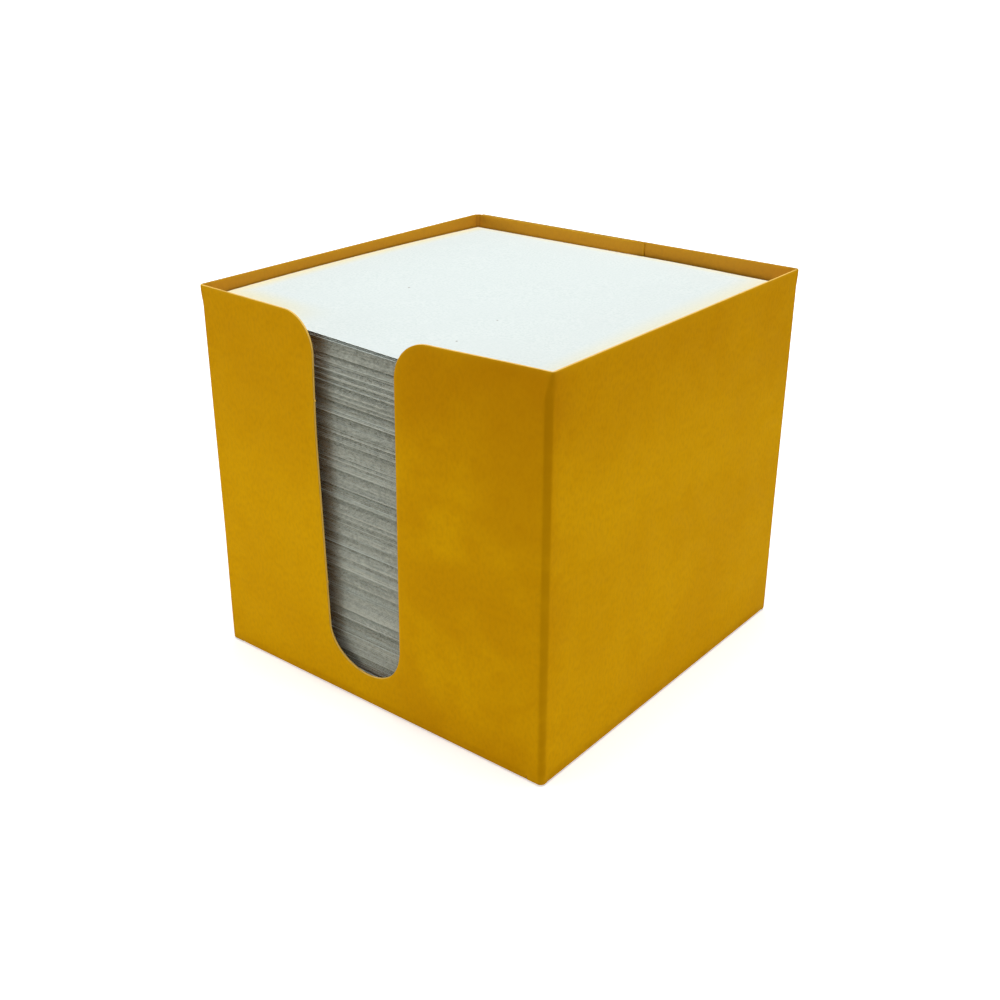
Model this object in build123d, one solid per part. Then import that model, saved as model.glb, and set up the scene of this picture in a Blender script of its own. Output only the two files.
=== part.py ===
from build123d import *
import os
import random

# Cube box for loose note sheets, folded from one blank of thin board, and its filling of paper.
# Millimetres. The origin is the middle of the base, on the desk. The slotted front wall faces -Y,
# the right wall +X, and +Z is up.

# Driving dimensions.
SHEET_SIDE = 90.0            # cut size of a note sheet, both ways
SHEET_THICK = 0.1            # 80 g/m2 paper
SHEET_ROOM = 0.4             # room beside the sheets, each side
BOARD = 0.6                  # thickness of the folded board
GLUE = 0.05                  # thickness of a pressed glue strip
BOX_HEIGHT = 85.8            # desk to rim
FOLD_RADIUS = 1.25           # outside of the four upright folds
BASE_FOLD_RADIUS = 0.9       # outside of the folds along the bottom

SLOT_BOTTOM = 8.0            # lowest point of the finger slot above the desk
SLOT_HALF_LOW = 10.2         # half width of the slot just above its round bottom
SLOT_HALF_TOP = 11.05        # half width of the slot where it meets the rim
SLOT_BOTTOM_RADIUS = 9.9     # nearly half round
SLOT_LIP_RADIUS = 8.0        # rounded corners where the slot opens at the rim

BOW_HEIGHT = 14.0            # height at which the full stack first holds the front wall out
BOW_LOW = 1.6                # how far it is held out there, beside the slot
BOW_RIM = 1.75               # how far it is held out at the rim, beside the slot

LAP_END = 5.8                # the glue flap ends this far right of the middle of the back wall
LAP_FOOT = 1.5               # lower edge of the glue flap
LAP_CUT = 1.0                # the back wall's free edge stops this far short of the left face

NARROW_FLAP_GAP = 2.0        # half of the gap between the tips of the two narrow bottom flaps
WIDE_FLAP_MEETING = 4.0      # the two wide bottom flaps meet this far behind the middle
WIDE_FLAP_GAP = 0.5          # half of the gap between their tips
FLAP_STEP = 2.5              # length of the step where a narrow flap rises onto the wide ones
FLAP_RELIEF = 3.8            # a wide flap is cut back this far from each side wall
FLAP_END_ROOM = 2.0          # a narrow flap is cut back this far from the front and back walls
FLAP_TAPER = 2.0             # each flap narrows by this much on each side towards its tip

# Packets of sheets that lie flush with each other: how many sheets each holds, from the bottom up.
# From the third one on these follow the bands of edges that show in the slot.
PACKET_SHEETS = (
    47, 47, 27, 54, 24, 49, 18, 32, 28, 26, 27, 38, 11, 33, 28, 7, 8, 24,
    19, 9, 34, 17, 7, 7, 28, 7, 19, 10, 10, 16, 13, 16, 12, 5, 16, 30,
)
LOOSE_SHEETS = 5             # single sheets on top of them
PACKET_SHORT = 0.5           # most that a packet is cut under size
PACKET_SHIFT = 0.2           # most that a packet lies out of line
LOOSE_SHIFT = 0.12           # most that a loose sheet lies out of line

# Sizes that follow.
WIDTH = SHEET_SIDE + 2 * SHEET_ROOM + 2 * BOARD
DEPTH = WIDTH + BOARD
RIGHT = WIDTH / 2
BACK = DEPTH / 2
FRONT = -DEPTH / 2
LAP_FACE = BACK - BOARD - GLUE                 # outer face of the glue flap
FLAP_TOP = 2 * BOARD + GLUE                    # the paper lies on this
STACK_Y = (LAP_FACE - BOARD + FRONT + BOARD) / 2


def wall_section(height, bow):
    """The walls cut level at one height: one strip of board, from the glue flap round to the back."""
    outer_front = FRONT - bow
    corner_rise = bow * BOARD / (RIGHT - SLOT_HALF_LOW)
    outside = [
        (-RIGHT + LAP_CUT, BACK),
        (RIGHT, BACK),
        (RIGHT, FRONT),
        (SLOT_HALF_LOW, outer_front),
        (-SLOT_HALF_LOW, outer_front),
        (-RIGHT, FRONT),
        (-RIGHT, LAP_FACE),
        (LAP_END, LAP_FACE),
    ]
    inside = [
        (LAP_END, LAP_FACE - BOARD),
        (-RIGHT + BOARD, LAP_FACE - BOARD),
        (-RIGHT + BOARD, FRONT + BOARD - corner_rise),
        (-SLOT_HALF_LOW, outer_front + BOARD),
        (SLOT_HALF_LOW, outer_front + BOARD),
        (RIGHT - BOARD, FRONT + BOARD - corner_rise),
        (RIGHT - BOARD, BACK - BOARD),
        (-RIGHT + LAP_CUT, BACK - BOARD),
    ]
    strip = make_face(Polyline(*outside, *inside, close=True))
    outer_folds = [outside[1], outside[2], outside[5], outside[6]]
    inner_folds = [inside[1], inside[2], inside[5], inside[6]]
    strip = round_corners(strip, outer_folds, FOLD_RADIUS)
    strip = round_corners(strip, inner_folds, FOLD_RADIUS - BOARD)
    return Pos(0, 0, height) * strip


def round_corners(face, corners, radius):
    """Round the corners of a level face that lie at the given points."""
    near = 0.01
    found = [
        vertex
        for vertex in face.vertices()
        if any(abs(vertex.X - x) < near and abs(vertex.Y - y) < near for x, y in corners)
    ]
    return fillet(found, radius)


def finger_slot():
    """The U-shaped slot, as a block that runs through the front wall."""
    above = BOX_HEIGHT + 5
    lip = SLOT_HALF_TOP + SLOT_LIP_RADIUS
    outline = Polyline(
        (-SLOT_HALF_LOW, SLOT_BOTTOM),
        (SLOT_HALF_LOW, SLOT_BOTTOM),
        (SLOT_HALF_TOP, BOX_HEIGHT),
        (lip + 1, BOX_HEIGHT),
        (lip + 1, above),
        (-lip - 1, above),
        (-lip - 1, BOX_HEIGHT),
        (-SLOT_HALF_TOP, BOX_HEIGHT),
        close=True,
    )
    face = make_face(outline)
    feet = [(-SLOT_HALF_LOW, SLOT_BOTTOM), (SLOT_HALF_LOW, SLOT_BOTTOM)]
    lips = [(-SLOT_HALF_TOP, BOX_HEIGHT), (SLOT_HALF_TOP, BOX_HEIGHT)]
    face = round_corners(face, feet, SLOT_BOTTOM_RADIUS)
    face = round_corners(face, lips, SLOT_LIP_RADIUS)
    block = extrude(Plane.XZ * face, 20)
    return Pos(0, FRONT + 10, 0) * block


def bottom_flap(reach, half_width, tip_half_width, step):
    """A bottom flap with its fold, hanging from a wall whose outer face is the plane X = 0.

    The flap runs towards +X. With a step it rises from the desk onto the flaps that lie under it.
    """
    radius = BASE_FOLD_RADIUS
    bend = radius * 0.5 ** 0.5
    inner_bend = (radius - BOARD) * 0.5 ** 0.5
    lift = 0.0
    lower = [(radius, 0)]
    upper = [(radius, BOARD)]
    if step:
        lift = BOARD + GLUE
        lower.append((radius + step, lift))
        upper.insert(0, (radius + step, lift + BOARD))
    tip = [(reach, lift), (reach, lift + BOARD)]
    outline = Curve() + [
        ThreePointArc((0, radius), (radius - bend, radius - bend), (radius, 0)),
        Polyline(*lower, *tip, *upper),
        ThreePointArc((radius, BOARD), (radius - inner_bend, radius - inner_bend), (BOARD, radius)),
        Line((BOARD, radius), (0, radius)),
    ]
    face = make_face(outline)
    block = extrude(Plane.XZ * face, half_width, both=True)
    taper_start = radius + step
    plan = make_face(
        Polyline(
            (-1, -half_width),
            (taper_start, -half_width),
            (reach + 1, -tip_half_width),
            (reach + 1, tip_half_width),
            (taper_start, half_width),
            (-1, half_width),
            close=True,
        )
    )
    return block & (Pos(0, 0, -1) * extrude(plan, 5))


def lap_foot_room():
    """The space under the glue flap, which ends above the bottom flaps, from its fold to its free edge."""
    start = -RIGHT + FOLD_RADIUS
    end = LAP_END + 1
    y_middle = LAP_FACE - BOARD / 2
    return Pos((start + end) / 2, y_middle, LAP_FOOT / 2) * Box(end - start, BOARD + GLUE, LAP_FOOT)


def fold_room(half_width):
    """The foot of a wall that gives way to a fold, as a block beside the plane X = 0."""
    return Pos(BOARD / 2, 0, BASE_FOLD_RADIUS / 2) * Box(BOARD + 0.04, 2 * half_width, BASE_FOLD_RADIUS)


def folded_carton():
    """The whole blank, folded: walls, glue flap and four bottom flaps in one piece."""
    walls = loft(
        [
            wall_section(0, 0),
            wall_section(BASE_FOLD_RADIUS, 0),
            wall_section(BOW_HEIGHT, BOW_LOW),
            wall_section(BOX_HEIGHT, BOW_RIM),
        ],
        ruled=True,
    )
    walls -= finger_slot()
    walls -= lap_foot_room()

    narrow_half = DEPTH / 2 - FLAP_END_ROOM
    narrow = bottom_flap(RIGHT - NARROW_FLAP_GAP, narrow_half, narrow_half - FLAP_TAPER, FLAP_STEP)
    wide_half = RIGHT - FLAP_RELIEF
    wide_tip_half = wide_half - FLAP_TAPER
    wide_front = bottom_flap(BACK + WIDE_FLAP_MEETING - WIDE_FLAP_GAP, wide_half, wide_tip_half, 0)
    wide_back = bottom_flap(BACK - WIDE_FLAP_MEETING - WIDE_FLAP_GAP, wide_half, wide_tip_half, 0)
    left_wall = Pos(-RIGHT, 0, 0)
    right_wall = Pos(RIGHT, 0, 0) * Rot(0, 0, 180)
    front_wall = Pos(0, FRONT, 0) * Rot(0, 0, 90)
    back_wall = Pos(0, BACK, 0) * Rot(0, 0, -90)
    for place, half_width, flap in (
        (left_wall, narrow_half, narrow),
        (right_wall, narrow_half, narrow),
        (front_wall, wide_half, wide_front),
        (back_wall, wide_half, wide_back),
    ):
        walls -= place * fold_room(half_width)
        walls += place * flap
    return walls


def seam_glue():
    """Three upright glue strips between the glue flap and the back wall."""
    strip_width = 9.0
    strip_height = BOX_HEIGHT - 12
    y = BACK - BOARD - GLUE / 2
    strip = Box(strip_width, GLUE, strip_height)
    return [Pos(x, y, BOX_HEIGHT / 2) * strip for x in (-37.0, -18.0, 0.5)]


def bottom_glue():
    """A glue strip under each half of each narrow flap, on the wide flaps."""
    strip = Box(26.0, 9.0, GLUE)
    return [Pos(x, y, BOARD + GLUE / 2) * strip for x in (-24.0, 24.0) for y in (-22.0, 22.0)]


def paper(count, side, bottom, shift_x, shift_y):
    """A number of sheets lying flush, as one block, on the level given."""
    thick = count * SHEET_THICK
    block = Box(side, side, thick)
    return Pos(shift_x, STACK_Y + shift_y, bottom + thick / 2) * block


def filling():
    """Every packet and loose sheet, by name, from the bottom up."""
    draw = random.Random(6)
    level = FLAP_TOP
    pieces = {}
    for index, count in enumerate(PACKET_SHEETS):
        side = SHEET_SIDE - draw.uniform(0, PACKET_SHORT)
        shift_x = draw.uniform(-PACKET_SHIFT, PACKET_SHIFT)
        shift_y = draw.uniform(-PACKET_SHIFT, PACKET_SHIFT)
        pieces[f"note_packet_{index + 1:02d}"] = paper(count, side, level, shift_x, shift_y)
        level += count * SHEET_THICK
    for index in range(LOOSE_SHEETS):
        shift_x = draw.uniform(-LOOSE_SHIFT, LOOSE_SHIFT)
        shift_y = draw.uniform(-LOOSE_SHIFT, LOOSE_SHIFT)
        name = "top_sheet" if index == LOOSE_SHEETS - 1 else f"loose_sheet_{index + 1}"
        pieces[name] = paper(1, SHEET_SIDE, level, shift_x, shift_y)
        level += SHEET_THICK
    return pieces


nodes = {
    "folded_carton": folded_carton(),
    "seam_glue": Compound(children=seam_glue()),
    "bottom_glue": Compound(children=bottom_glue()),
}
nodes.update(filling())

os.makedirs("parts", exist_ok=True)
for name, shape in nodes.items():
    shape.label = name
    export_step(shape, f"parts/{name}.step")
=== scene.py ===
import math

import bpy
import numpy as np
from mathutils import Matrix, Vector, geometry


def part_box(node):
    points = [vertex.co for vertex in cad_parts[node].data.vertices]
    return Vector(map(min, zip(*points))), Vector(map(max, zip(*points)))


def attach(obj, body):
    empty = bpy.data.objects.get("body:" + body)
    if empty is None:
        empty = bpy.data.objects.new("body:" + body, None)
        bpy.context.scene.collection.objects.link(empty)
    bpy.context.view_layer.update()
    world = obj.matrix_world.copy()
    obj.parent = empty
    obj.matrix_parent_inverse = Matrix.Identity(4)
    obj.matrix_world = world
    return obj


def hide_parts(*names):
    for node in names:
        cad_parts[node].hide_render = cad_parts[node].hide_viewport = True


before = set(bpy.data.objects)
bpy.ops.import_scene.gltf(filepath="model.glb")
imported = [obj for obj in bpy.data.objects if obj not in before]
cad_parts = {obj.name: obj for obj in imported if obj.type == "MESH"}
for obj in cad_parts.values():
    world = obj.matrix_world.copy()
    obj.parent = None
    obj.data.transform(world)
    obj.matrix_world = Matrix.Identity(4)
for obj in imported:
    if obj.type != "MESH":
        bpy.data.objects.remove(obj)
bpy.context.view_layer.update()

# ------------------------------------------------------
# The box. One blank of golden-yellow coated board, die-cut with its finger slot, creased along
# four upright and four bottom folds, and folded up. The glue flap closes it inside the back wall,
# and the full stack of paper holds the slotted front wall out a little.
# ------------------------------------------------------
MM = 0.001
BOARD = 0.6 * MM
GLUE = 0.05 * MM
UPRIGHT_FOLD = 0.95 * MM             # radius of the upright folds, in the middle of the board
BOTTOM_FOLD = 0.6 * MM               # the same for the folds along the bottom
FOLD_HEIGHT = BOTTOM_FOLD + BOARD / 2
LAP_END = 5.8 * MM                   # where the glue flap ends inside the back wall
LAP_FOOT = 1.5 * MM
LAP_PRESSED = 0.48 * MM              # the glue flap's end is pressed this much thinner,
LAP_SLOPE = 4.0 * MM                 # over this width
FREE_EDGE = 1.0 * MM                 # the back wall stops this far short of the left face
RIM_BOW = 1.73 * MM                  # how far the front wall stands out beside the slot
BOW_FOOT = 16 * MM                   # height within which it gets there,
BOW_SHARE = 0.94                     # but for the rest of this share, which comes evenly up to the rim
SLOT_BOTTOM = 8.0 * MM
SLOT_BEND_RADIUS = 150 * MM          # of the slight bend where the slot is cut widest
SLOT_LEFT_FOOT_RADIUS = 9.9 * MM
SLOT_RIGHT_FOOT_RADIUS = 10.3 * MM
SLOT_LEFT_LOW = 10.15 * MM           # the slot's left edge, from the middle of the wall: at its foot,
SLOT_LEFT_MIDDLE = (11.3 * MM, 62 * MM)   # at the height where it is cut widest,
SLOT_LEFT_TOP = 10.5 * MM            # and at the rim
SLOT_LEFT_LIP_RADIUS = 7.7 * MM
SLOT_RIGHT_LOW = 9.8 * MM
SLOT_RIGHT_TOP = 11.15 * MM
SLOT_RIGHT_LIP_RADIUS = 8.2 * MM
NICK_HEIGHTS = (68.2 * MM, 27.5 * MM)   # stubs where the cutting die held the waste, on the slot's left edge
NICK_SIZE = 0.17 * MM
RIDGE_SHARPNESS = 14                 # higher bends the wall more tightly beside the slot
FOLD_SHARPNESS = 1.28                # of the upright folds: 1 is a flat band, 2 is round, 4 nearly sharp
RIM_SHARPNESS = (0.0, 1.9, 3.5, 1.9) # how much sharper each one, from the glue flap on, closes at the rim,
RIM_CLOSES = 4.5 * MM                # over this height,
FOOT_SHARPNESS = 1.0                 # and how much sharper they all close at the foot,
FOOT_CLOSES = 34 * MM                # over this height
CORNER_SET_BACK = 0.85 * MM          # the rim of the right front corner is pushed in by this,
CORNER_TOP = 6 * MM                  # over this height
CORNER_REACH = 30 * MM               # and this far along both walls
FOOT = 0.35 * MM                     # the walls' feet end this far above the table, beside the bottom folds
FLAP_SLIT = 0.15 * MM
FLAP_CORNER = 2.5 * MM
BLANK_CORNER = 0.8 * MM              # radius of the blank's free corners
CUT_ROUNDING = 0.09 * MM             # how far the die rounds over a cut edge,
CUT_CRUSH = 0.05 * MM                # how much thinner it presses the board there,
CRUSH_REACH = 0.35 * MM              # and how far that reaches inwards
SOILED_CUT = 0.5                     # how fresh the cut edges of the left and back walls still look
INNER_MARK = 0.2                     # third value of the blank's coordinates on the inner face; 0 outside

carton_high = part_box("folded_carton")[1]
HEIGHT = carton_high.z
SIDE = carton_high.x - BOARD / 2     # side walls, in the middle of the board
BACK = carton_high.y - BOARD / 2
FRONT = -BACK
LAP = BACK - BOARD - GLUE
CREASE = UPRIGHT_FOLD * math.pi / 2  # flat width of an upright fold
BASE_CREASE = BOTTOM_FOLD * math.pi / 2

# Each run of the strip: where it starts, which way it goes, how long it is, and its bottom flap.
# A flap has the place of its middle along the run, half its width, how far it reaches inwards from
# the wall's outer face, and how far it steps up onto the flaps below it.
step_up = BOARD + GLUE
RUNS = [
    dict(start=(LAP_END, LAP), way=(-1, 0), length=LAP_END + SIDE - UPRIGHT_FOLD, flap=None),
    dict(start=(-SIDE, LAP - UPRIGHT_FOLD), way=(0, -1), length=LAP - FRONT - 2 * UPRIGHT_FOLD,
         flap=dict(middle=LAP - UPRIGHT_FOLD, half=44.3 * MM, reach=44.0 * MM, step=step_up)),
    dict(start=(-SIDE + UPRIGHT_FOLD, FRONT), way=(1, 0), length=2 * (SIDE - UPRIGHT_FOLD),
         flap=dict(middle=SIDE - UPRIGHT_FOLD, half=42.2 * MM, reach=49.8 * MM, step=0)),
    dict(start=(SIDE, FRONT + UPRIGHT_FOLD), way=(0, 1), length=BACK - FRONT - 2 * UPRIGHT_FOLD,
         flap=dict(middle=BACK - UPRIGHT_FOLD, half=44.3 * MM, reach=44.0 * MM, step=step_up)),
    dict(start=(SIDE - UPRIGHT_FOLD, BACK), way=(-1, 0),
         length=2 * SIDE + BOARD / 2 - UPRIGHT_FOLD - FREE_EDGE,
         flap=dict(middle=SIDE - UPRIGHT_FOLD, half=42.2 * MM, reach=41.8 * MM, step=0)),
]
reached = 0.0
for run in RUNS:
    run["u"] = reached
    reached += run["length"] + CREASE
FOLD_STARTS = np.array([run["u"] + run["length"] for run in RUNS[:-1]])
FRONT_RUN = RUNS[2]
FLAP_STEP = 2.5 * MM                 # width over which a flap steps up
FLAP_TAPER = 2.0 * MM                # how much narrower its tip is, on either side

# The mesh: its spacing on the walls, beside the folds and the rim, on the flaps and where these step up.
WALL_SPACING = 1.9 * MM
FOLD_SPACING = 0.6 * MM
RIM_SPACING = 0.7 * MM
FLAP_SPACING = 2.2 * MM
STEP_SPACING = 0.4 * MM
BESIDE_FOLD = 1.2 * MM
BELOW_RIM = 5 * MM
EDGE_SPACING = 1.2 * MM              # along slanting edges
EDGE_BAND = 1.15 * MM                # the lattice stops this far from the blank's edge,
EDGE_RINGS = (0.4 * MM, 0.85 * MM)   # where two rings of points follow the edge instead,
EDGE_GAP = 0.22 * MM                 # but at the folds it runs on to here


def eased(x):
    """0 below 0, 1 above 1, and a smooth rise between."""
    x = np.clip(x, 0, 1)
    return x * x * (3 - 2 * x)


def front_bow(x, z):
    """How far the front wall stands out: a tent with its ridge beside the slot, growing with height."""
    lift = np.maximum(z - FOLD_HEIGHT, 0)
    by_height = BOW_SHARE * eased(lift / BOW_FOOT) + (1 - BOW_SHARE) * lift / (HEIGHT - FOLD_HEIGHT)
    hinge = SIDE - UPRIGHT_FOLD
    across = np.clip((hinge - np.abs(x)) / (hinge - SLOT_RIGHT_LOW), 0, None)
    ridge = across - np.logaddexp(0, RIDGE_SHARPNESS * (across - 1)) / RIDGE_SHARPNESS
    return RIM_BOW * by_height * ridge


def fold_sharpness(z, rim_sharpness):
    """The folds are pressed to a flat band, but close up to a sharp corner at the rim and the foot."""
    at_rim = rim_sharpness * eased((z - HEIGHT + RIM_CLOSES) / RIM_CLOSES)
    at_foot = FOOT_SHARPNESS * eased((FOOT_CLOSES - z) / FOOT_CLOSES)
    return FOLD_SHARPNESS + at_rim + at_foot


def fold_up(u, v, in_flap):
    """Where points of the flat blank lie on the folded box, in the middle of the board's thickness.

    u runs along the strip, v up it. Points of a bottom flap bend inwards below the fold.
    """
    place = np.zeros((len(u), 3))
    place[:, 2] = np.where(in_flap, FOLD_HEIGHT, v)
    for index, run in enumerate(RUNS):
        way = np.array(run["way"], float)
        outward = np.array([way[1], -way[0]])
        end = run["u"] + run["length"]
        last = run is RUNS[-1]
        mine = (u >= (run["u"] if index else -math.inf)) & (u <= (math.inf if last else end))
        along = u[mine] - run["u"]
        plan = np.array(run["start"]) + along[:, None] * way
        if run["flap"]:
            flap = run["flap"]
            w = np.where(in_flap[mine], np.maximum(FOLD_HEIGHT - v[mine], 0), 0)
            angle = np.minimum(w, BASE_CREASE) / BOTTOM_FOLD
            beyond = np.maximum(w - BASE_CREASE, 0)
            inward = BOTTOM_FOLD * (1 - np.cos(angle)) + beyond
            plan = plan - inward[:, None] * outward
            step = flap["step"] * eased(beyond / FLAP_STEP)
            place[mine, 2] += -BOTTOM_FOLD * np.sin(angle) + step
        place[mine, :2] = plan
        if not last:
            turned = np.array(RUNS[index + 1]["way"], float)
            corner = np.array(run["start"]) + (run["length"] + UPRIGHT_FOLD) * way
            fold = (u > end) & (u < end + CREASE)
            turn = (u[fold] - end) / CREASE * math.pi / 2
            power = 2 / fold_sharpness(place[fold, 2], RIM_SHARPNESS[index])
            ahead = UPRIGHT_FOLD * (1 - np.cos(turn) ** power)
            behind = UPRIGHT_FOLD * (1 - np.sin(turn) ** power)
            place[fold, :2] = corner + ahead[:, None] * turned - behind[:, None] * way
    on_front = (u > FRONT_RUN["u"]) & (u < FRONT_RUN["u"] + FRONT_RUN["length"])
    place[on_front, 1] -= front_bow(place[on_front, 0], place[on_front, 2])
    corner = FRONT_RUN["u"] + FRONT_RUN["length"] + CREASE / 2
    pushed = 1 - eased(np.abs(u - corner) / CORNER_REACH)
    place[:, 1] += CORNER_SET_BACK * pushed * eased((place[:, 2] - HEIGHT + CORNER_TOP) / CORNER_TOP)
    return place


def rounded(corners):
    """An outline through corners (u, v, radius), with an arc of short steps at each rounded one."""
    outline = []
    for index, (u, v, radius) in enumerate(corners):
        here = np.array([u, v])
        if not radius:
            outline.append(here)
            continue
        before = np.array(corners[index - 1][:2]) - here
        after = np.array(corners[(index + 1) % len(corners)][:2]) - here
        before /= np.linalg.norm(before)
        after /= np.linalg.norm(after)
        half_angle = math.acos(np.clip(before @ after, -1, 1)) / 2
        reach = radius / math.tan(half_angle)
        middle = here + (before + after) / np.linalg.norm(before + after) * radius / math.sin(half_angle)
        first, last = here + before * reach - middle, here + after * reach - middle
        sweep = math.pi - 2 * half_angle
        steps = max(3, round(radius * sweep / FOLD_SPACING))
        for step in range(steps + 1):
            share = step / steps
            mix = math.sin((1 - share) * sweep) * first + math.sin(share * sweep) * last
            outline.append(middle + mix / math.sin(sweep))
    return outline


def blank_corners():
    """Corners of the flat blank, from the glue flap's foot up, along the rim and back along the foot."""
    middle = FRONT_RUN["u"] + FRONT_RUN["length"] / 2
    last = RUNS[-1]
    end = last["u"] + last["length"]
    nick_foot = 1.6 * NICK_SIZE
    corners = [(0, LAP_FOOT, BLANK_CORNER), (0, HEIGHT, 0)]
    widest, widest_height = SLOT_LEFT_MIDDLE
    left_edge = [(HEIGHT, SLOT_LEFT_TOP), (widest_height, widest), (SLOT_BOTTOM, SLOT_LEFT_LOW)]
    corners.append((middle - SLOT_LEFT_TOP, HEIGHT, SLOT_LEFT_LIP_RADIUS))
    for (above, half_above), (below, half_below), nick in zip(left_edge[:-1], left_edge[1:], NICK_HEIGHTS):
        half = half_below + (half_above - half_below) * (nick - below) / (above - below)
        edge = middle - half
        corners += [(edge, nick + nick_foot, 0), (edge + NICK_SIZE, nick + NICK_SIZE, 0)]
        corners += [(edge + NICK_SIZE, nick - NICK_SIZE, 0), (edge, nick - nick_foot, 0)]
        if below == widest_height:
            corners.append((middle - widest, widest_height, SLOT_BEND_RADIUS))
    corners.append((middle - SLOT_LEFT_LOW, SLOT_BOTTOM, SLOT_LEFT_FOOT_RADIUS))
    corners.append((middle + SLOT_RIGHT_LOW, SLOT_BOTTOM, SLOT_RIGHT_FOOT_RADIUS))
    corners.append((middle + SLOT_RIGHT_TOP, HEIGHT, SLOT_RIGHT_LIP_RADIUS))
    corners += [(end, HEIGHT, BLANK_CORNER), (end, FOOT, 0)]
    for run in reversed(RUNS[1:]):
        flap = run["flap"]
        tip = FOLD_HEIGHT - BASE_CREASE - (flap["reach"] - FOLD_HEIGHT)
        shoulder = FOLD_HEIGHT - BASE_CREASE - (FLAP_STEP if flap["step"] else 0)
        for side in (1, -1):
            edge = run["u"] + flap["middle"] + side * flap["half"]
            inner = edge - side * FLAP_SLIT
            slit_top = FOLD_HEIGHT + FLAP_SLIT
            outer_part = [(edge, FOOT, 0), (edge, slit_top, 0), (inner, slit_top, 0), (inner, shoulder, 0)]
            outer_part.append((inner - side * FLAP_TAPER, tip, FLAP_CORNER))
            corners += outer_part if side == 1 else outer_part[::-1]
    fold = RUNS[0]["u"] + RUNS[0]["length"]
    corners += [(fold, FOOT, 0), (fold, LAP_FOOT, 0)]
    return corners


def spaced(low, high, gap):
    """Evenly spaced values from low to high, no further apart than the gap."""
    count = max(1, math.ceil((high - low) / gap))
    return [low + (high - low) * i / count for i in range(count)] + [high]


def blank_columns():
    """Where the mesh has its columns: sparse on the walls, close together across the folds."""
    columns = []
    for run in RUNS:
        start, end = run["u"], run["u"] + run["length"]
        columns += spaced(start, start + BESIDE_FOLD, FOLD_SPACING)[:-1]
        columns += spaced(start + BESIDE_FOLD, end - BESIDE_FOLD, WALL_SPACING)
        columns += spaced(end - BESIDE_FOLD, end, FOLD_SPACING)[1:]
        if run is not RUNS[-1]:
            columns += spaced(end, end + CREASE, CREASE / 12)[1:-1]
    return columns


def blank_rows():
    """Where the mesh has its rows: close together at the bottom folds, the flaps' step and the rim."""
    flap_start = FOLD_HEIGHT - BASE_CREASE
    deepest = flap_start - max(run["flap"]["reach"] for run in RUNS[1:]) + FOLD_HEIGHT
    stops = [deepest, flap_start - FLAP_STEP, flap_start, FOLD_HEIGHT, HEIGHT - BELOW_RIM, HEIGHT]
    gaps = [FLAP_SPACING, STEP_SPACING, BASE_CREASE / 6, WALL_SPACING, RIM_SPACING]
    rows = [deepest]
    for low, high, gap in zip(stops[:-1], stops[1:], gaps):
        rows += spaced(low, high, gap)[1:]
    return rows


def divided(outline, columns, rows):
    """The outline with points where it crosses the mesh's columns or rows, or every millimetre or so."""
    level, clear = 1e-4 * MM, 0.02 * MM
    points = []
    for index, here in enumerate(outline):
        there = outline[(index + 1) % len(outline)]
        run, rise = there - here
        length = math.hypot(run, rise)
        points.append(here)
        if abs(rise) < level:
            shares = [(c - here[0]) / run for c in columns]
        elif abs(run) < level:
            shares = [(r - here[1]) / rise for r in rows]
        else:
            count = math.ceil(length / EDGE_SPACING)
            shares = [i / count for i in range(1, count)]
        shares = [s for s in shares if clear < s * length < length - clear]
        points += [here + s * (there - here) for s in sorted(shares)]
    return np.array(points)


def inside(points, outline):
    """Which points the closed outline goes round."""
    within = np.zeros(len(points), bool)
    for (u0, v0), (u1, v1) in zip(outline, np.roll(outline, -1, axis=0)):
        if v0 != v1:
            crosses = (v0 > points[:, 1]) != (v1 > points[:, 1])
            within ^= crosses & (points[:, 0] < (u1 - u0) * (points[:, 1] - v0) / (v1 - v0) + u0)
    return within


def distance_to(points, outline):
    """Distance of each point from the outline."""
    nearest = np.full(len(points), np.inf)
    for start, end in zip(outline, np.roll(outline, -1, axis=0)):
        edge = end - start
        share = np.clip(((points - start) @ edge) / (edge @ edge), 0, 1)
        gap = np.linalg.norm(points - start - share[:, None] * edge, axis=1)
        nearest = np.minimum(nearest, gap)
    return nearest


def near_folds(points, beside, around):
    """Which points lie in an upright fold or this far beside it, or this near the bottom folds."""
    across = points[:, :1] - FOLD_STARTS
    upright = ((across > -beside) & (across < CREASE + beside)).any(axis=1)
    return upright | (np.abs(points[:, 1] - FOLD_HEIGHT / 2) < around)


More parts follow.
